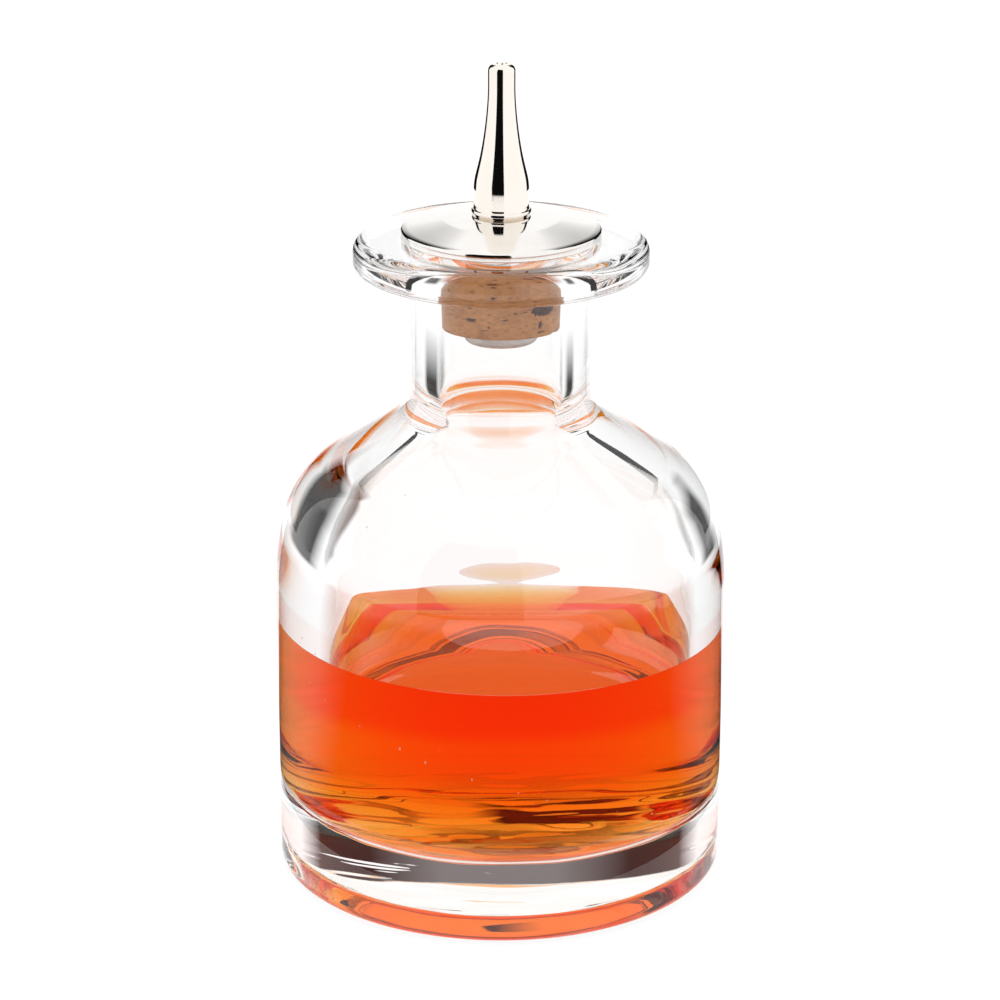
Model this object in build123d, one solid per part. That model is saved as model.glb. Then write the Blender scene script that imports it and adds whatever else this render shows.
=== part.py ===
"""Bitters bottle: a thick glass dash bottle, part filled, closed by a corked metal dasher.

Millimetres. +Z is up along the axis that every piece is turned about, and the origin is the
centre of the ring of glass that the bottle stands on. The glass and the bitters stay put. The
cork, the domed cap, the spout, the stem and the ferrule lift out of the neck together.
"""

import math
import os

from build123d import *

# Glass bottle, outside
body_radius = 30.0
body_draft = 0.25  # the wall is this much narrower at the heel than at the shoulder
heel_rounding = 2.15
standing_ring_width = 2.2
standing_ring_rounding = 0.4
punt_depth = 1.8
punt_slope_width = 4.0
wall_height = 45.6  # where the line of the wall meets the line of the haunch
haunch_angle = 73.7  # degrees above level
haunch_length = 9.0
haunch_rounding = 31.5
shoulder_angle = 33.8  # degrees above level
shoulder_rounding = 11.6
neck_root_rounding = 4.9
glass_height = 87.75
flange_radius = 19.4
flange_thickness = 4.25
flange_top_rounding = 2.0
flange_bottom_rounding = 0.95
flange_root_rounding = 1.0

# Glass bottle, inside
bore_radius = 8.15
mouth_rounding = 0.5
neck_wall = 3.6
side_wall = 5.7
shoulder_wall = 5.2
cavity_shoulder_rounding = 12.0
cavity_neck_rounding = 4.0
cavity_heel_rounding = 3.0
floor_height = 9.35

# Bitters
bitters_depth = 24.55

# Cork
cork_length = 11.6
cork_clearance = 0.08  # between the cork's widest ring and the bore
cork_taper = 0.35
cork_edge = 0.5

# Domed cap
cap_radius = 13.1
cap_rim_height = 1.15  # where the line of the rim meets the line of the dome
cap_height = 3.05
cap_flat_radius = 5.6
cap_dome_rounding = 19.0
cap_rim_rounding = 0.3
cap_foot_rounding = 0.2

# Stem, the tube that the bitters leave through
stem_radius = 2.0
stem_bore_radius = 1.2
stem_socket_depth = 3.4  # how far the stem reaches into the spout
stem_edge = 0.2

# Ferrule, which grips the stem below the cork
ferrule_radius = 4.85
ferrule_thickness = 2.1
ferrule_rounding = 0.8

# Spout
undercut_radius = 3.27
undercut_height = 0.25
foot_radius = 3.9
foot_height = 0.55
foot_rounding = 0.2
spout_radius = 3.62
spout_barrel_height = 3.45  # the straight part, above the foot
barrel_rounding = 7.3
taper_length = 7.6
taper_rounding = 42.6
tip_radius = 1.78
tip_rounding = 0.9
spout_length = 19.9
jet_radius = 0.6
jet_length = 3.0

# Running clearance between pieces that are pressed together, and between liquid and glass
seat_clearance = 0.02

# Most of a straight that the roundings at its two ends may take
rounded_share = 0.98


def fitted_roundings(points, roundings):
    """The roundings of a closed outline, each cut down where a straight beside it is too short."""
    count = len(points)
    straights = [Vector(points[(i + 1) % count]) - Vector(points[i]) for i in range(count)]
    tangents = []
    for i in range(count):
        turn = straights[i - 1].get_angle(straights[i])
        tangents.append(roundings[i] * math.tan(math.radians(turn) / 2))
    fits = []
    for i in range(count):
        taken = tangents[i] + tangents[(i + 1) % count]
        room = rounded_share * straights[i].length
        fits.append(room / taken if taken > room else 1)
    return [roundings[i] * min(fits[i - 1], fits[i]) for i in range(count)]


def turned(*corners):
    """A solid turned about Z from a closed outline. Each corner is its radius, height and rounding."""
    points = [(radius, height) for radius, height, _ in corners]
    roundings = fitted_roundings(points, [corner[2] for corner in corners])
    with BuildPart() as solid:
        with BuildSketch(Plane.XZ):
            with BuildLine():
                FilletPolyline(points, radius=roundings, close=True)
            make_face()
        revolve(axis=Axis.Z)
    return solid.part


# Haunch and shoulder lines outside, and the shoulder line of the cavity below them
haunch = math.radians(haunch_angle)
slope = math.tan(math.radians(shoulder_angle))
shoulder_radius = body_radius - haunch_length * math.cos(haunch)
shoulder_height = wall_height + haunch_length * math.sin(haunch)
neck_radius = bore_radius + neck_wall
neck_root_height = shoulder_height + (shoulder_radius - neck_radius) * slope
cavity_radius = body_radius - side_wall
wall_drop = shoulder_wall / math.cos(math.radians(shoulder_angle))
cavity_shoulder_height = shoulder_height + (shoulder_radius - cavity_radius) * slope - wall_drop
cavity_neck_height = cavity_shoulder_height + (cavity_radius - bore_radius) * slope

# Heights in the stopper, from the cork up
cork_bottom = glass_height - cork_length
ferrule_bottom = cork_bottom - ferrule_thickness
cap_top = glass_height + cap_height
foot_bottom = cap_top + undercut_height
foot_top = foot_bottom + foot_height
barrel_top = foot_top + spout_barrel_height
spout_top = cap_top + spout_length
stem_top = cap_top + stem_socket_depth


def glass_bottle():
    """One turned glass body: punt and standing ring, wall, shoulder, neck and flat flange."""
    heel_radius = body_radius - body_draft
    ring_radius = heel_radius - heel_rounding - standing_ring_width
    punt_radius = ring_radius - punt_slope_width
    flange_bottom = glass_height - flange_thickness
    return turned(
        (0, punt_depth, 0),
        (punt_radius, punt_depth, punt_slope_width),
        (ring_radius, 0, standing_ring_rounding),
        (heel_radius, 0, heel_rounding),
        (body_radius, wall_height, haunch_rounding),
        (shoulder_radius, shoulder_height, shoulder_rounding),
        (neck_radius, neck_root_height, neck_root_rounding),
        (neck_radius, flange_bottom, flange_root_rounding),
        (flange_radius, flange_bottom, flange_bottom_rounding),
        (flange_radius, glass_height, flange_top_rounding),
        (bore_radius, glass_height, mouth_rounding),
        (bore_radius, cavity_neck_height, cavity_neck_rounding),
        (cavity_radius, cavity_shoulder_height, cavity_shoulder_rounding),
        (cavity_radius, floor_height, cavity_heel_rounding),
        (0, floor_height, 0),
    )


def bitters_liquid():
    """The bitters as they lie in the bottle, from the floor of the cavity to a level surface."""
    bottom = floor_height + seat_clearance
    radius = cavity_radius - seat_clearance
    level = floor_height + bitters_depth
    return turned((0, bottom, 0), (radius, bottom, cavity_heel_rounding), (radius, level, 0), (0, level, 0))


def cork_stopper():
    """A tapered cork, bored for the stem, whose top lies against the cap."""
    top_radius = bore_radius - cork_clearance
    hole_radius = stem_radius + seat_clearance
    return turned(
        (hole_radius, cork_bottom, 0),
        (top_radius - cork_taper, cork_bottom, cork_edge),
        (top_radius, glass_height, 0),
        (hole_radius, glass_height, 0),
    )


def domed_cap():
    """The metal disc that rests on the flange, nearly flat on top and rounded down to its rim."""
    hole_radius = stem_radius + seat_clearance
    return turned(
        (hole_radius, glass_height, 0),
        (cap_radius, glass_height, cap_foot_rounding),
        (cap_radius, glass_height + cap_rim_height, cap_rim_rounding),
        (cap_flat_radius, cap_top, cap_dome_rounding),
        (hole_radius, cap_top, 0),
    )


def stem_tube():
    """The tube through the cork and the cap, from the foot of the ferrule into the spout."""
    return turned(
        (stem_bore_radius, ferrule_bottom, 0),
        (stem_radius, ferrule_bottom, stem_edge),
        (stem_radius, stem_top, stem_edge),
        (stem_bore_radius, stem_top, 0),
    )


def stem_ferrule():
    """The flanged ring on the stem that holds the cork up against the cap."""
    hole_radius = stem_radius + seat_clearance
    return turned(
        (hole_radius, ferrule_bottom, 0),
        (ferrule_radius, ferrule_bottom, ferrule_rounding),
        (ferrule_radius, cork_bottom, 0),
        (hole_radius, cork_bottom, 0),
    )


def dasher_spout():
    """The hollow spout: an undercut foot, a short barrel, a long taper and a tip with a fine jet."""
    socket_radius = stem_radius + seat_clearance
    socket_top = stem_top + seat_clearance
    return turned(
        (socket_radius, cap_top, 0),
        (undercut_radius, cap_top, 0),
        (undercut_radius, foot_bottom, 0),
        (foot_radius, foot_bottom, foot_rounding),
        (foot_radius, foot_top, foot_rounding),
        (spout_radius, foot_top, 0),
        (spout_radius, barrel_top, barrel_rounding),
        (tip_radius, barrel_top + taper_length, taper_rounding),
        (tip_radius, spout_top, tip_rounding),
        (jet_radius, spout_top, 0),
        (jet_radius, spout_top - jet_length, 0),
        (stem_bore_radius, socket_top, 0),
        (socket_radius, socket_top, 0),
    )


NODES = {
    "glass_bottle": glass_bottle,
    "bitters_liquid": bitters_liquid,
    "cork_stopper": cork_stopper,
    "domed_cap": domed_cap,
    "stem_tube": stem_tube,
    "stem_ferrule": stem_ferrule,
    "dasher_spout": dasher_spout,
}

os.makedirs("parts", exist_ok=True)
for node, make in NODES.items():
    export_step(make(), os.path.join("parts", node + ".step"))
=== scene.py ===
"""The bitters bottle, dressed. Metres, +Z up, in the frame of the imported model.

Every piece is turned about the Z axis from a half section: glass with an uneven cavity, bitters
that fit it, cork with pits and chips, and polished metal above and below it.
"""

import math

import bmesh
import bpy
from mathutils import Euler, Matrix, Vector, noise


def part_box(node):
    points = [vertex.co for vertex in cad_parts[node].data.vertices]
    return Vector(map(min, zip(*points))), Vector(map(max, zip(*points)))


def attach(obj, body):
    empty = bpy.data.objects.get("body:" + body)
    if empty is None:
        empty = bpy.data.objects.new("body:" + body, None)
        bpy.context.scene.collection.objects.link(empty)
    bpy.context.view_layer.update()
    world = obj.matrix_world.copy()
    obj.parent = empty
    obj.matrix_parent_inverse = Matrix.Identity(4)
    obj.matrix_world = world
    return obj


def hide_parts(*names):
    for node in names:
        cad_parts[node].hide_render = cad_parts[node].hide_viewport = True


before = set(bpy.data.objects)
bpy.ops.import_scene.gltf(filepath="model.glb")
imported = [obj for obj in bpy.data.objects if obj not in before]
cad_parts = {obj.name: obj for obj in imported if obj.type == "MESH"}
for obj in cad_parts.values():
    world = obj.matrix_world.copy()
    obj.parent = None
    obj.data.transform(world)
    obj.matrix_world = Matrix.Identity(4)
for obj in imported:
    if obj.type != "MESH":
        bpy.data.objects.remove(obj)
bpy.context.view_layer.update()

MM = 0.001
TINY = 1e-6
sharp_angle = math.radians(40)
white = (1, 1, 1, 1)

# Glass bottle
body_radius = 30.0 * MM
body_draft = 0.25 * MM
heel_rounding = 2.15 * MM
standing_ring_width = 2.2 * MM
standing_ring_rounding = 0.4 * MM
punt_depth = 1.8 * MM
punt_slope_width = 4.0 * MM
wall_height = 45.6 * MM
haunch_angle = math.radians(73.7)
haunch_length = 9.0 * MM
haunch_rounding = 31.5 * MM
shoulder_angle = math.radians(33.8)
shoulder_rounding = 11.6 * MM
neck_root_rounding = 4.9 * MM
flange_radius = 19.4 * MM
flange_thickness = 4.25 * MM
flange_top_rounding = 2.0 * MM
flange_bottom_rounding = 0.95 * MM
flange_root_rounding = 1.0 * MM
bore_radius = 8.15 * MM
mouth_rounding = 0.5 * MM
neck_wall = 3.6 * MM
side_wall = 5.7 * MM
shoulder_wall = 5.2 * MM
cavity_shoulder_rounding = 12.0 * MM
cavity_neck_rounding = 4.0 * MM
cavity_heel_rounding = 3.0 * MM
floor_height = 9.35 * MM

glass_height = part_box("glass_bottle")[1][2]
cavity_radius = body_radius - side_wall
neck_radius = bore_radius + neck_wall
slope = math.tan(shoulder_angle)
shoulder_radius = body_radius - haunch_length * math.cos(haunch_angle)
shoulder_height = wall_height + haunch_length * math.sin(haunch_angle)
neck_root_height = shoulder_height + (shoulder_radius - neck_radius) * slope
wall_drop = shoulder_wall / math.cos(shoulder_angle)
cavity_shoulder_height = shoulder_height + (shoulder_radius - cavity_radius) * slope - wall_drop
cavity_neck_height = cavity_shoulder_height + (cavity_radius - bore_radius) * slope

# How far the cavity stands off the axis, and how high the waves in the glass are
cavity_shift = 0.9 * MM
wall_wave = 0.05 * MM
fine_share = 0.25  # of the wave of the wall
floor_wave = 0.25 * MM
skin_wave = 0.02 * MM
punt_wave = 0.03 * MM

# How long those waves are, how their noise is stretched along each axis, and where it is sliced
wave_length = 9.0 * MM
fine_length = wave_length * 0.35
floor_wave_length = wave_length * 0.6
punt_wave_length = 3 * MM
wall_stretch = (1, 1, 0.6)
floor_stretch = (0.8, 1.6, 0)
floor_slice = 7 * MM
punt_stretch = (0.3, 1.6, 0)
punt_slice = 3 * MM

# Seeds in the wall: each is a step on from the last one in angle, height, depth and size
seed_count = 34
seed_radius = 0.11 * MM
seed_turn_step = 2.39996
seed_height_step = 0.618034
seed_depth_step = 0.37
seed_size_step = 0.71
seed_depth, seed_depth_span = 0.3, 0.4  # shares of the wall
seed_least = 0.5  # share of the radius
seed_drop = 1.5 * MM

# Bitters: they reach a little into the glass, so that no film of air lies between the two
liquid_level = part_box("bitters_liquid")[1][2]
wetting = 0.04 * MM

# Stopper
cork_bottom, cork_top = (corner[2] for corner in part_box("cork_stopper"))
cork_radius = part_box("cork_stopper")[1][0]
cork_taper = 0.35 * MM
cork_edge = 0.5 * MM
# Chips off its lower edge: how deep, how high up, how long, and the noise they start and end at
chip_depth = 0.35 * MM
chip_height = 1.2 * MM
chip_length = 1.6 * MM
chip_noise = (0.15, 0.5)
# Pits: how ragged their rims are, and from which share of their reach they rise to the surface
pit_ragged = 0.25
pit_ragged_length = 0.4 * MM
pit_rise = 0.55
sound_width = 2 * MM  # of the cork beside its hole, left whole
# The pits: degrees round from the front, height, half width, half height and depth
cork_pits = (
    (39, 3.8 * MM, 1.7 * MM, 0.95 * MM, 0.8 * MM),
    (62, 5.6 * MM, 0.5 * MM, 1.5 * MM, 0.3 * MM),
    (-27, 2.6 * MM, 0.9 * MM, 0.22 * MM, 0.25 * MM),
    (36, 1.8 * MM, 0.35 * MM, 0.55 * MM, 0.3 * MM),
    (-8, 6.2 * MM, 0.7 * MM, 0.2 * MM, 0.2 * MM),
    (-50, 5.2 * MM, 0.6 * MM, 0.3 * MM, 0.25 * MM),
    (12, 3.6 * MM, 0.5 * MM, 0.18 * MM, 0.2 * MM),
    (-72, 7.5 * MM, 0.9 * MM, 0.5 * MM, 0.35 * MM),
    (98, 3.2 * MM, 1.1 * MM, 0.5 * MM, 0.4 * MM),
    (125, 6.8 * MM, 0.5 * MM, 1.0 * MM, 0.3 * MM),
    (160, 2.4 * MM, 0.9 * MM, 0.3 * MM, 0.3 * MM),
    (-150, 5.0 * MM, 1.2 * MM, 0.5 * MM, 0.4 * MM),
    (-115, 2.2 * MM, 0.4 * MM, 0.8 * MM, 0.3 * MM),
    (-100, 8.6 * MM, 0.7 * MM, 0.25 * MM, 0.25 * MM),
)
cap_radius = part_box("domed_cap")[1][0]
cap_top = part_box("domed_cap")[1][2]
cap_rim_height = 1.15 * MM
cap_flat_radius = 5.6 * MM
cap_dome_rounding = 19.0 * MM
cap_rim_rounding = 0.3 * MM
cap_foot_rounding = 0.2 * MM
ferrule_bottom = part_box("stem_ferrule")[0][2]
ferrule_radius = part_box("stem_ferrule")[1][0]
ferrule_rounding = 0.8 * MM
stem_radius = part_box("stem_tube")[1][0]
stem_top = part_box("stem_tube")[1][2]
stem_bore_radius = 1.2 * MM
stem_edge = 0.2 * MM
seat_clearance = 0.02 * MM
foot_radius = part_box("dasher_spout")[1][0]
spout_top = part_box("dasher_spout")[1][2]
undercut_radius = 3.27 * MM
undercut_height = 0.25 * MM
foot_height = 0.55 * MM
foot_rounding = 0.2 * MM
spout_radius = 3.62 * MM
spout_barrel_height = 3.45 * MM
barrel_rounding = 7.3 * MM
taper_length = 7.6 * MM
taper_rounding = 42.6 * MM
tip_radius = 1.78 * MM
tip_rounding = 0.9 * MM
jet_radius = 0.6 * MM
jet_length = 3.0 * MM

# Colours
glass_colours = (0.985, 0.992, 0.99, 1), white
bitters_clouds = (1, 0.97, 0.94, 1), white
bitters_colour = (0.9967, 0.80, 0.35, 1)
bitters_density = 300.0
cork_light = (0.86, 0.41, 0.15, 1)
cork_dark = (0.56, 0.23, 0.07, 1)
cork_speck = (0.30, 0.10, 0.035, 1)
cork_pore = (0.10, 0.028, 0.014, 1)
cap_colours = (0.93, 0.91, 0.88, 1), (0.86, 0.83, 0.80, 1)
spout_colours = (0.95, 0.90, 0.84, 1), (0.90, 0.84, 0.77, 1)
tube_colours = (0.80, 0.79, 0.77, 1), (0.70, 0.69, 0.67, 1)
ferrule_colours = (0.78, 0.76, 0.73, 1), (0.60, 0.57, 0.53, 1)
floor_colour = (0.85, 0.85, 0.85, 1)

# Share of plain light that the floor shows to the camera, to metal and to glass, and how bright
# that light and the surround are
floor_white = 0.8
floor_light = 1.12
surround_light = 1.08

# Painted caustic: warm light of the bitters, painted on the floor behind the bottle: its colour
# near the bottle and farther out, and the distances and half angles between which it fades
painted_caustic_near = (0.98, 0.42, 0.10, 1)
painted_caustic_far = (0.75, 0.42, 0.26, 1)
painted_caustic_fade = (56 * MM, 62 * MM, 75 * MM, 118 * MM)
painted_caustic_reach = 1.2  # times the last of those distances
painted_caustic_spread = (math.radians(8), math.radians(26))

# Painted orange shadow of the bitters on the floor in front of the bottle, and the dark of the gaps
# between the lights
painted_shadow_colour = (0.50, 0.15, 0.06, 1)
gap_colour = (0.004, 0.004, 0.004, 1)

# Cards that lie over the floor: near and far edge, start and end of the arc in degrees clockwise
# from straight behind, the colour, the ray that sees it, and its fades
floor_radius = 2.0
card_lift = 0.3 * MM
card_steps = 48
floor_cards = {
    "near_card": (0.045, 0.29, 35, 325, gap_colour, "glossy", (("out", 0.29, 0.21),)),
    # Painted shadow of the bitters, orange, seen only through the glass
    "painted_bitters_shadow": (0.045, 0.16, 60, 300, painted_shadow_colour, "transmission", (
        ("out", 0.16, 0.12), ("side", 62, 88),
    )),
}

# Cards that stand round the bottle: distance, start and end of the arc, foot and top, the ray that
# sees it, and its fades. The front card has none: it is black throughout.
standing_cards = {
    "front_card": (0.285, 169, 220, 0.0185, 0.45, "glossy", ()),
    "metal_left": (0.30, -52, -9, 0.016, 0.40, "glossy", (("turn", -10.5, -19),)),
    "metal_right": (0.30, 9, 52, 0.016, 0.40, "glossy", (("turn", 10.5, 19),)),
    "low_left": (0.06, -76, -33, 0.032, 0.061, "transmission", (
        ("turn", -33, -43), ("turn", -76, -66), ("up", 0.060, 0.052), ("up", 0.033, 0.037),
    )),
    "low_right": (0.06, 42, 70, 0.032, 0.061, "transmission", (
        ("turn", 43, 51), ("turn", 70, 61), ("up", 0.060, 0.052), ("up", 0.033, 0.037),
    )),
    "band_left": (1.0, -56, 0, 0.40, 0.50, "transmission", (
        ("turn", -10, -26, 0.8, 0.98), ("turn", -56, -44),
    )),
    "band_right": (1.0, 0, 56, 0.40, 0.50, "transmission", (
        ("turn", 10, 26, 0.8, 0.98), ("turn", 56, 44),
    )),
    "band_low": (1.0, -20, 8, 0.16, 0.40, "transmission", (
        ("turn", -20, -12, 0.0, 0.75), ("turn", 8, 0),
    )),
    "upper_left": (1.0, -56, 8, 1.145, 1.40, "transmission", (
        ("turn", -56, -44), ("turn", 8, -1), ("up", 1.145, 1.170),
    )),
    "upper_right": (1.0, 14, 56, 1.145, 1.40, "transmission", (
        ("turn", 14, 24, 0.0, 0.6), ("turn", 56, 44),
    )),
}

# How often light may pass or mirror: enough to come out of the flange again
total_bounces = 32
mirror_bounces = 9

# Camera of the photograph
camera_distance = 527.45 * MM
camera_height = 236.53 * MM
camera_tilt = math.radians(19.35)
camera_roll = math.radians(0.16)
camera_pan = 0.07 * MM
camera_lens = 151.2
camera_sensor = 36.0


def half_section(bm, corners, closed, arc_step, longest):
    """Joins corners, each a radius, height and rounding, in the XZ plane, and rounds them."""
    verts = [bm.verts.new((radius, 0, height)) for radius, height, _ in corners]
    following = verts[1:] + verts[:1] if closed else verts[1:]
    for vert, after in zip(verts, following):
        bm.edges.new((vert, after))
    for vert, (_, _, rounding) in zip(verts, corners):
        if rounding:
            arms = [edge.other_vert(vert).co - vert.co for edge in vert.link_edges]
            turn = math.pi - arms[0].angle(arms[1])
            bmesh.ops.bevel(
                bm, geom=[vert], offset=rounding * math.tan(turn / 2), offset_type="OFFSET",
                segments=max(3, round(rounding * turn / arc_step)), profile=0.5,
                affect="VERTICES", material=-1,
            )
    for edge in bm.edges[:]:
        cuts = int(edge.calc_length() / longest)
        if cuts:
            bmesh.ops.subdivide_edges(bm, edges=[edge], cuts=cuts)


def turned(corners, closed=False, steps=192, arc_step=0.3 * MM, longest=1.2 * MM):
    """A mesh turned about Z from a half section, with its faces pointing outwards."""
    bm = bmesh.new()
    half_section(bm, corners, closed, arc_step, longest)
    bmesh.ops.spin(
        bm, geom=bm.verts[:] + bm.edges[:], cent=(0, 0, 0), axis=(0, 0, 1),
        angle=2 * math.pi, steps=steps, use_merge=True, use_duplicate=False,
    )
    bmesh.ops.remove_doubles(bm, verts=bm.verts[:], dist=TINY / 10)
    bmesh.ops.recalc_face_normals(bm, faces=bm.faces[:])
    bm.normal_update()
    return bm


def piece(name, bm, material, body, *nodes, slot=None):
    """Makes a mesh an object that rides on a body and stands for CAD nodes."""
    mesh = bpy.data.meshes.new(name)
    bm.to_mesh(mesh)
    bm.free()
    mesh.shade_smooth()
    mesh.materials.append(material)
    made = bpy.data.objects.new(name, mesh)
    bpy.context.scene.collection.objects.link(made)
    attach(made, body)
    if nodes:
        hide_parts(*nodes)
    return made


def smooth_step(low, high, value):
    """0 below low, 1 above high, and an even rise between."""
    share = min(max((value - low) / (high - low), 0), 1)
    return share * share * (3 - 2 * share)


def ripple(point, length, stretch=(1, 1, 1), level=0):
    """Smooth noise at a point, whose waves have a length and a stretch along each axis."""
    x, y, z = (value * factor for value, factor in zip(point, stretch))
    return noise.noise(Vector((x, y, z + level)) / length)


def cavity_offset(point):
    """How far the wall or floor of the cavity stands from a true one at a point."""
    below_neck = 1 - smooth_step(cavity_shoulder_height, cavity_neck_height, point.z)
    wave = ripple(point, wave_length, wall_stretch) + ripple(point, fine_length) * fine_share
    out = Vector((point.x, point.y, 0))
    out = out.normalized() if out.length > TINY else out
    swirl = ripple(point, floor_wave_length, floor_stretch, floor_slice)
    near_floor = 1 - smooth_step(floor_height, floor_height + cavity_heel_rounding, point.z)
    middle = smooth_step(0, cavity_heel_rounding, cavity_radius - math.hypot(point.x, point.y))
    shift = Vector((cavity_shift * below_neck, 0, 0))
    swell = Vector((0, 0, swirl * floor_wave * near_floor * middle))
    return shift + out * wave * wall_wave * below_neck + swell


def add_seeds(bm):
    """Tiny closed bubbles inside the wall, each lined by faces that point into it."""
    for index in range(seed_count):
        turn = index * seed_turn_step
        share = (index * seed_height_step) % 1
        height = floor_height + share * (neck_root_height - floor_height)
        outer = body_radius
        if height > shoulder_height:
            outer = shoulder_radius - (height - shoulder_height) / slope
        depth = seed_depth + seed_depth_span * ((index * seed_depth_step) % 1)
        across = outer - side_wall * depth
        radius = seed_radius * (seed_least + (index * seed_size_step) % 1)
        middle = Vector((across * math.cos(turn), across * math.sin(turn), height - seed_drop))
        made = bmesh.ops.create_icosphere(
            bm, subdivisions=2, radius=radius, matrix=Matrix.Translation(middle),
        )
        faces = {face for vert in made["verts"] for face in vert.link_faces}
        bmesh.ops.reverse_faces(bm, faces=list(faces))


def glass_mesh():
    """The bottle: turned true, then given an uneven cavity and a faintly uneven skin."""
    heel_radius = body_radius - body_draft
    ring_radius = heel_radius - heel_rounding - standing_ring_width
    flange_bottom = glass_height - flange_thickness
    bm = turned((
        (0, punt_depth, 0),
        (ring_radius - punt_slope_width, punt_depth, punt_slope_width),
        (ring_radius, 0, standing_ring_rounding),
        (heel_radius, 0, heel_rounding),
        (body_radius, wall_height, haunch_rounding),
        (shoulder_radius, shoulder_height, shoulder_rounding),
        (neck_radius, neck_root_height, neck_root_rounding),
        (neck_radius, flange_bottom, flange_root_rounding),
        (flange_radius, flange_bottom, flange_bottom_rounding),
        (flange_radius, glass_height, flange_top_rounding),
        (bore_radius, glass_height, mouth_rounding),
        (bore_radius, cavity_neck_height, cavity_neck_rounding),
        (cavity_radius, cavity_shoulder_height, cavity_shoulder_rounding),
        (cavity_radius, floor_height, cavity_heel_rounding),
        (0, floor_height, 0),
    ))
    for vert in bm.verts:
        facing = vert.normal.x * vert.co.x + vert.normal.y * vert.co.y
        if vert.co.z > floor_height - TINY and (facing < 0 or vert.co.z < floor_height + TINY):
            vert.co += cavity_offset(vert.co)
        elif vert.co.z > standing_ring_rounding:
            vert.co += vert.normal * ripple(vert.co, wave_length) * skin_wave
        across = vert.co.xy.length
        inside_ring = 1 - smooth_step(ring_radius - punt_slope_width, ring_radius, across)
        if vert.co.z < punt_depth + TINY and inside_ring:
            wave = ripple(vert.co, punt_wave_length, punt_stretch, punt_slice)
            vert.co.z += wave * punt_wave * inside_ring
    add_seeds(bm)
    bm.normal_update()
    return bm


def bitters_mesh():
    """The bitters: a level top with a sharp rim, and a wall that follows the cavity."""
    wall = cavity_radius + wetting
    bottom = floor_height - wetting
    bm = turned((
        (0, bottom, 0),
        (wall, bottom, cavity_heel_rounding),
        (wall, liquid_level, 0),
        (0, liquid_level, 0),
    ))
    for edge in bm.edges:
        edge.smooth = edge.calc_face_angle(0) < sharp_angle
    for vert in bm.verts:
        vert.co += cavity_offset(vert.co)
    bm.normal_update()
    return bm


def cork_mesh():
    """The tapered cork, bored for the stem, with pits in its side and chips off its lower edge."""
    hole = stem_radius + seat_clearance
    bm = turned((
        (hole, cork_bottom, 0),
        (cork_radius - cork_taper, cork_bottom, cork_edge),
        (cork_radius, cork_top, 0),
        (hole, cork_top, 0),
    ), closed=True, steps=256, arc_step=0.15 * MM, longest=0.25 * MM)
    depths = bm.verts.layers.float.new("pit")
    for vert in bm.verts:
        across = math.hypot(vert.co.x, vert.co.y)
        if across < hole + TINY:
            continue
        around = math.degrees(math.atan2(vert.co.x, -vert.co.y))
        height = vert.co.z - cork_bottom
        depth = 0
        for middle, level, width, tall, deep in cork_pits:
            side = (around - middle + 180) % 360 - 180
            reach = math.hypot(math.radians(side) * across / width, (height - level) / tall)
            ragged = pit_ragged * ripple(vert.co, pit_ragged_length)
            depth = max(depth, deep * (1 - smooth_step(pit_rise, 1.0, reach + ragged)))
        low = 1 - smooth_step(0, chip_height, height)
        chips = smooth_step(*chip_noise, ripple(vert.co, chip_length)) * low * chip_depth
        out = Vector((vert.co.x, vert.co.y, 0)).normalized()
        vert.co -= out * (depth + chips) * smooth_step(hole, hole + sound_width, across)
        vert[depths] = depth / MM
    bm.normal_update()
    return bm


def cap_mesh():
    """The domed cap that rests on the flange."""
    hole = stem_radius + seat_clearance
    return turned((
        (hole, glass_height, 0),
        (cap_radius, glass_height, cap_foot_rounding),
        (cap_radius, glass_height + cap_rim_height, cap_rim_rounding),
        (cap_flat_radius, cap_top, cap_dome_rounding),
        (hole, cap_top, 0),
    ), closed=True, arc_step=0.1 * MM, longest=0.8 * MM)


def stem_mesh():
    """The tube from the foot of the ferrule into the spout."""
    return turned((
        (stem_bore_radius, ferrule_bottom, 0),
        (stem_radius, ferrule_bottom, stem_edge),
        (stem_radius, stem_top, stem_edge),
        (stem_bore_radius, stem_top, 0),
    ), closed=True, steps=64)


def ferrule_mesh():
    """The pale ring below the cork."""
    hole = stem_radius + seat_clearance
    return turned((
        (hole, ferrule_bottom, 0),
        (ferrule_radius, ferrule_bottom, ferrule_rounding),
        (ferrule_radius, cork_bottom, 0),
        (hole, cork_bottom, 0),
    ), closed=True, steps=96, arc_step=0.1 * MM)


def spout_mesh():
    """The hollow spout: undercut foot, barrel, taper and tip with its fine jet."""
    socket = stem_radius + seat_clearance
    foot_bottom = cap_top + undercut_height
    foot_top = foot_bottom + foot_height
    barrel_top = foot_top + spout_barrel_height
    return turned((
        (socket, cap_top, 0),
        (undercut_radius, cap_top, 0),
        (undercut_radius, foot_bottom, 0),
        (foot_radius, foot_bottom, foot_rounding),
        (foot_radius, foot_top, foot_rounding),
        (spout_radius, foot_top, 0),
        (spout_radius, barrel_top, barrel_rounding),
        (tip_radius, barrel_top + taper_length, taper_rounding),
        (tip_radius, spout_top, tip_rounding),
        (jet_radius, spout_top, 0),
        (jet_radius, spout_top - jet_length, 0),
        (stem_bore_radius, stem_top + seat_clearance, 0),
        (socket, stem_top + seat_clearance, 0),
    ), closed=True, steps=128, arc_step=0.08 * MM, longest=0.4 * MM)


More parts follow.
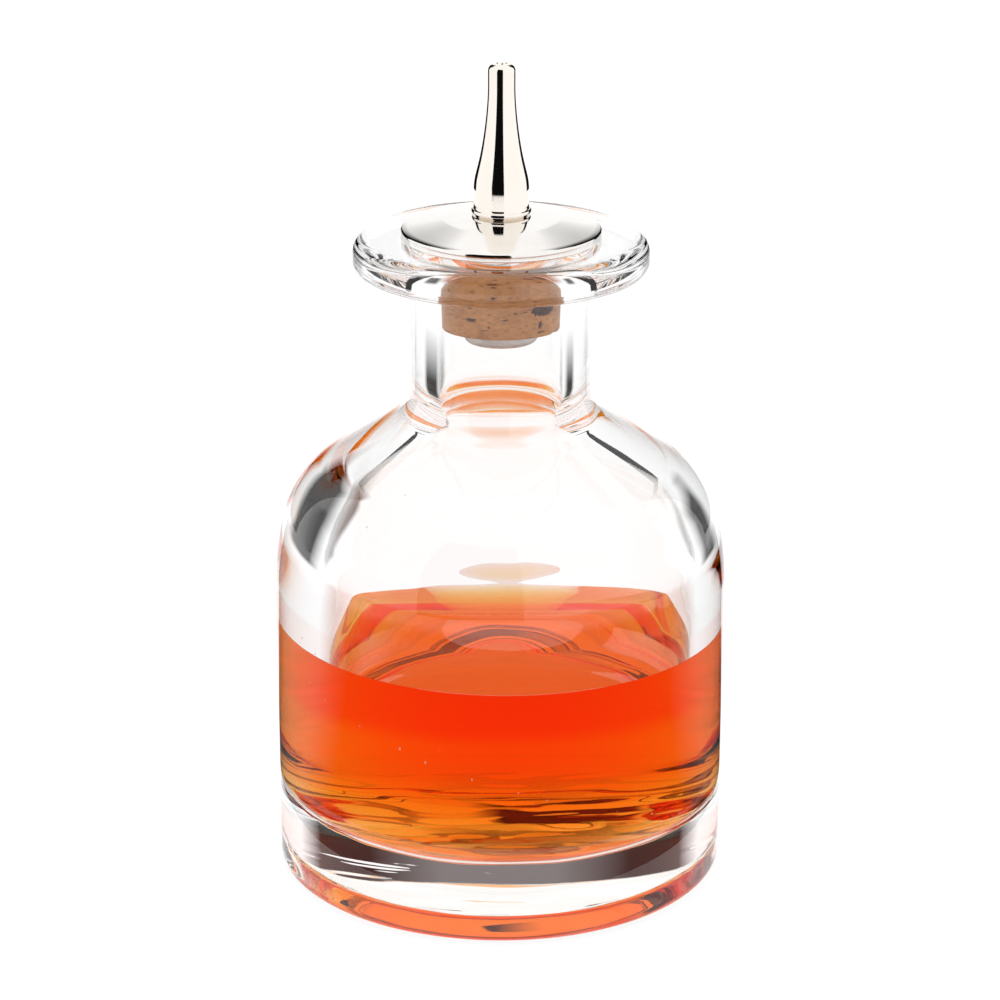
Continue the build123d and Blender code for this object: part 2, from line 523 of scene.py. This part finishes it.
class Shade:
    """A socket of a node tree. Sums and products add Math nodes, and node() adds any other."""

    def __init__(self, tree, socket=None):
        self.tree = tree
        self.socket = socket

    def node(self, kind, inputs=(), output=0, stops=(), **settings):
        """Adds a node, its settings first, and gives one of its outputs."""
        made = self.tree.nodes.new("ShaderNode" + kind)
        for setting, value in settings.items():
            setattr(made, setting, value)
        for index, (position, colour) in enumerate(stops):
            ramp = made.color_ramp.elements
            stop = ramp[index] if index < len(ramp) else ramp.new(position)
            stop.position = position
            stop.color = colour
        for key, value in dict(inputs).items():
            if isinstance(value, Shade):
                self.tree.links.new(value.socket, made.inputs[key])
            else:
                made.inputs[key].default_value = value
        return Shade(self.tree, made.outputs[output])

    def feed(self, key, node="Principled BSDF"):
        """Links the socket to an input of a node that is there already."""
        self.tree.links.new(self.socket, self.tree.nodes[node].inputs[key])

    def node_of(self, name, output):
        """An output of a node that is there already."""
        return Shade(self.tree, self.tree.nodes[name].outputs[output])

    def maths(self, operation, *values):
        return self.node("Math", dict(enumerate(values)), operation=operation)

    def __add__(self, other):
        return self.maths("ADD", self, other)

    def __sub__(self, other):
        return self.maths("SUBTRACT", self, other)

    def __rsub__(self, other):
        return self.maths("SUBTRACT", other, self)

    def __mul__(self, other):
        return self.maths("MULTIPLY", self, other)

    __radd__ = __add__
    __rmul__ = __mul__

    def place(self, scale=(1, 1, 1)):
        """The place on the object, stretched by a scale along each axis."""
        place = self.node("TexCoord", output="Object")
        return self.node("Mapping", {"Vector": place, "Scale": scale})

    def noise(self, place, scale, detail=2.0, roughness=0.5):
        return self.node("TexNoise", {
            "Vector": place, "Scale": scale, "Detail": detail, "Roughness": roughness,
        })

    def between(self, low, high, to_low=0.0, to_high=1.0):
        """Maps a span of the value onto another and holds it there beyond both ends."""
        return self.node("MapRange", {
            "Value": self, "From Min": low, "From Max": high, "To Min": to_low, "To Max": to_high,
        })

    def blend(self, low, high):
        """A colour between two, by the value."""
        mix = {"Factor": self, "A": low, "B": high}
        return self.node("Mix", mix, output="Result", data_type="RGBA")

    def bump(self, strength, distance):
        return self.node("Bump", {"Height": self, "Strength": strength, "Distance": distance})


def principled(name, **sockets):
    """A material with one Principled shader, its sockets set by name with spaces as underscores."""
    material = bpy.data.materials.new(name)
    material.use_nodes = True
    shader = material.node_tree.nodes["Principled BSDF"]
    for socket, value in sockets.items():
        shader.inputs[socket.replace("_", " ")].default_value = value
    return material, Shade(material.node_tree)


def glass_material():
    """Clear pressed glass, faintly wavy, with a breath of haze here and there."""
    material, shade = principled("clear_glass", Roughness=0.0, IOR=1.5, Transmission_Weight=1.0)
    haze = shade.noise(shade.place(), scale=60, detail=2)
    haze.between(0.3, 0.7).blend(*glass_colours).feed("Base Color")
    waves = shade.noise(shade.place((1, 1, 0.35)), scale=140, detail=1)
    waves.bump(strength=0.10, distance=0.1 * MM).feed("Normal")
    return material


def bitters_material():
    """Orange-red bitters: clear, and coloured by the depth that light goes through."""
    material, shade = principled(
        "bitters", Roughness=0.0, IOR=1.35, Transmission_Weight=1.0, Specular_Tint=(0, 0, 0, 1),
    )
    cloud = shade.noise(shade.place(), scale=90, detail=3)
    cloud.between(0.3, 0.7).blend(*bitters_clouds).feed("Base Color")
    waves = shade.noise(shade.place(), scale=120, detail=1)
    waves.bump(strength=0.04, distance=0.1 * MM).feed("Normal")
    absorb = shade.node("VolumeAbsorption", {"Color": bitters_colour, "Density": bitters_density})
    absorb.feed("Volume", "Material Output")
    return material


def cork_material():
    """Cork: tan, speckled, with fine grain, dark pores and darker pits."""
    material, shade = principled("cork", Specular_IOR_Level=0.25)
    place = shade.place((1, 1, 1.7))
    flat_place = shade.place((1, 1, 2.4))
    broad = shade.noise(place, scale=260, detail=4, roughness=0.6)
    grain = shade.noise(place, scale=1500, detail=3, roughness=0.65)
    cells = shade.node("TexVoronoi", {"Vector": flat_place, "Scale": 900.0}, output="Distance")
    pores = shade.noise(flat_place, scale=620, detail=2).between(0.63, 0.72)
    tan = (broad * 0.6 + grain * 0.4).between(0.35, 0.65).blend(cork_dark, cork_light)
    specks = cells.between(0.0, 0.4, 0.6, 0.0)
    tan = specks.blend(tan, cork_speck)
    tan = pores.blend(tan, cork_pore)
    pit = shade.node("Attribute", output="Fac", attribute_name="pit").between(0.04, 0.2)
    pit.blend(tan, cork_pore).feed("Base Color")
    (0.75 + grain * 0.2).feed("Roughness")
    relief = grain * 0.6 + broad * 0.4 - pores * 0.8
    relief.bump(strength=0.6, distance=0.12 * MM).feed("Normal")
    return material


def metal_material(name, colours, roughness, spread, turning):
    """Turned metal: fine rings from the lathe, broad smears and small scratches."""
    material, shade = principled(name, Metallic=1.0)
    smears = shade.noise(shade.place((1, 1, 0.4)), scale=180, detail=3, roughness=0.6)
    rings = shade.noise(shade.place((0.02, 0.02, 1)), scale=4200, detail=2, roughness=0.6)
    scratches = shade.noise(shade.place((1, 6, 1)), scale=900, detail=2).between(0.62, 0.72)
    smears.between(0.3, 0.75).blend(*colours).feed("Base Color")
    dull = smears.between(0.35, 0.75, roughness, roughness + spread)
    (dull + scratches * spread).feed("Roughness")
    (rings * 0.8 + scratches * 0.2).bump(strength=turning, distance=0.02 * MM).feed("Normal")
    return material


def ferrule_material():
    """The pale ferrule: dull white metal with a mottled, slightly pitted face."""
    material, shade = principled("pale_ferrule", Metallic=0.35, Specular_IOR_Level=0.4)
    mottle = shade.noise(shade.place(), scale=700, detail=4, roughness=0.6)
    mottle.between(0.35, 0.7).blend(*ferrule_colours).feed("Base Color")
    mottle.between(0.3, 0.7, 0.35, 0.55).feed("Roughness")
    mottle.bump(strength=0.3, distance=0.05 * MM).feed("Normal")
    return material


glass = glass_material()
polished_cap = metal_material(
    "polished_cap", cap_colours, roughness=0.05, spread=0.05, turning=0.05,
)
polished_spout = metal_material(
    "polished_spout", spout_colours, roughness=0.03, spread=0.04, turning=0.04,
)
satin_tube = metal_material(
    "satin_tube", tube_colours, roughness=0.22, spread=0.1, turning=0.1,
)

piece("glass_body", glass_mesh(), glass, "bottle", "glass_bottle", slot="clear_glass")
piece("bitters", bitters_mesh(), bitters_material(), "bottle", "bitters_liquid", slot="bitters")
piece("cork", cork_mesh(), cork_material(), "stopper", "cork_stopper", slot="cork")
piece("cap", cap_mesh(), polished_cap, "stopper", "domed_cap", slot="polished_cap")
piece("spout", spout_mesh(), polished_spout, "stopper", "dasher_spout", slot="polished_spout")
piece("stem", stem_mesh(), satin_tube, "stopper", "stem_tube", slot="steel_tube")
piece("ferrule", ferrule_mesh(), ferrule_material(), "stopper", "stem_ferrule", slot="pale_ferrule")


def photo_camera():
    """The camera of the photograph: level with the bottle's axis, looking down at it."""
    data = bpy.data.cameras.new("photo_camera")
    data.lens = camera_lens
    data.sensor_width = camera_sensor
    camera = bpy.data.objects.new("photo_camera", data)
    camera.location = (-camera_pan, -camera_distance, camera_height)
    aim = Euler((math.pi / 2 - camera_tilt, 0, 0)).to_matrix()
    camera.rotation_euler = (aim @ Matrix.Rotation(camera_roll, 3, "Z")).to_euler()
    bpy.context.scene.collection.objects.link(camera)
    bpy.context.scene.camera = camera


def shine(name, colour):
    """A backdrop material that gives off an even light, and the wrapper of its nodes."""
    material = bpy.data.materials.new(name)
    material.use_nodes = True
    shade = Shade(material.node_tree)
    shade.tree.nodes.remove(shade.tree.nodes["Principled BSDF"])
    glow = shade.node("Emission", {"Color": colour})
    glow.feed("Surface", "Material Output")
    return material, shade, glow


def stage_piece(name, bm, material, **seen_by):
    """Adds a part of the studio, seen only by the kinds of ray that are named."""
    mesh = bpy.data.meshes.new(name)
    bm.to_mesh(mesh)
    bm.free()
    mesh.materials.append(material)
    made = bpy.data.objects.new(name, mesh)
    bpy.context.scene.collection.objects.link(made)
    if seen_by:
        for kind in ("camera", "diffuse", "glossy", "transmission", "shadow", "volume_scatter"):
            setattr(made, "visible_" + kind, seen_by.get(kind, False))
    return made


def card_mesh(ends, start, end):
    """A line between two ends, each a distance and a height, swept clockwise about the bottle."""
    bm = bmesh.new()
    turn = math.radians(start)
    verts = [bm.verts.new((r * math.sin(turn), r * math.cos(turn), z)) for r, z in ends]
    edge = bm.edges.new(verts)
    bmesh.ops.spin(
        bm, geom=verts + [edge], cent=(0, 0, 0), axis=(0, 0, -1), angle=math.radians(end - start),
        steps=card_steps, use_merge=False, use_duplicate=False,
    )
    return bm


def floor_material():
    """Pale floor that keeps the shadow and shows plain light to the camera, metal and glass."""
    material, shade = principled("floor", Base_Color=floor_colour, Roughness=1.0)
    camera_ray, glossy_ray, passing_ray = (
        shade.node("LightPath", output=f"Is {kind} Ray")
        for kind in ("Camera", "Glossy", "Transmission")
    )
    place = shade.node("TexCoord", output="Object")
    x, y = (shade.node("SeparateXYZ", {0: place}, output=axis) for axis in "XY")
    across = shade.maths("ABSOLUTE", x)
    away = shade.node("VectorMath", {0: place}, output="Value", operation="LENGTH")
    turn = shade.maths("ARCTAN2", across, y)
    # Painted caustic: a warm patch on the floor behind the bottle, seen only through the glass
    rise, near, ebb, far = painted_caustic_fade
    warm = away.between(rise, near) * away.between(ebb, far, 1.0, 0.0)
    warm = warm * turn.between(*painted_caustic_spread, 1.0, 0.0) * passing_ray
    tint = away.between(near, far * painted_caustic_reach).blend(painted_caustic_near, painted_caustic_far)
    glow = shade.node("Emission", {"Color": warm.blend(white, tint), "Strength": floor_light})
    body = shade.node_of("Principled BSDF", "BSDF")
    share = (camera_ray + glossy_ray + passing_ray).between(0, 1, 0, floor_white)
    shade.node("MixShader", {0: share, 1: body, 2: glow}).feed("Surface", "Material Output")
    return material


def card_material(name, colour, fades):
    """A card that shows its colour by a share, the product of its fades, and is clear otherwise.

    A fade is "turn", in degrees clockwise from straight behind, or "side", the same either way, or
    "up" or "out", in metres, then where it starts and ends, and then the shares there, which are 0
    and 1 unless they are given.
    """
    material, shade, glow = shine(name, colour)
    place = shade.node("TexCoord", output="Object")
    x, y, z = (shade.node("SeparateXYZ", {0: place}, output=axis) for axis in "XYZ")
    turn = shade.maths("ARCTAN2", x, y) * math.degrees(1)
    axes = {
        "turn": turn,
        "side": shade.maths("ABSOLUTE", turn),
        "up": z,
        "out": shade.node("VectorMath", {0: place}, output="Value", operation="LENGTH"),
    }
    share = 1.0
    for along, *span in fades:
        share = axes[along].between(*span) * share
    clear = shade.node("BsdfTransparent")
    shade.node("MixShader", {0: share, 1: clear, 2: glow}).feed("Surface", "Material Output")
    return material


def studio():
    """A pale floor, an even white surround, and the dark gaps that polished things show."""
    bm = bmesh.new()
    bmesh.ops.create_circle(bm, cap_ends=True, radius=floor_radius, segments=96)
    stage_piece("floor", bm, floor_material())
    for name, (near, far, start, end, colour, ray, fades) in floor_cards.items():
        bm = card_mesh(((near, card_lift), (far, card_lift)), start, end)
        stage_piece(name, bm, card_material(name, colour, fades), **{ray: True})
    for name, (radius, start, end, low, high, ray, fades) in standing_cards.items():
        bm = card_mesh(((radius, low), (radius, high)), start, end)
        stage_piece(name, bm, card_material(name, gap_colour, fades), **{ray: True})
    world = bpy.data.worlds.new("surround")
    world.use_nodes = True
    background = world.node_tree.nodes["Background"]
    background.inputs["Color"].default_value = white
    background.inputs["Strength"].default_value = surround_light
    bpy.context.scene.world = world
    bpy.context.scene.cycles.max_bounces = total_bounces
    bpy.context.scene.cycles.glossy_bounces = mirror_bounces
    bpy.context.scene.cycles.transmission_bounces = total_bounces


photo_camera()
studio()
bpy.context.scene.view_settings.view_transform = "Standard"
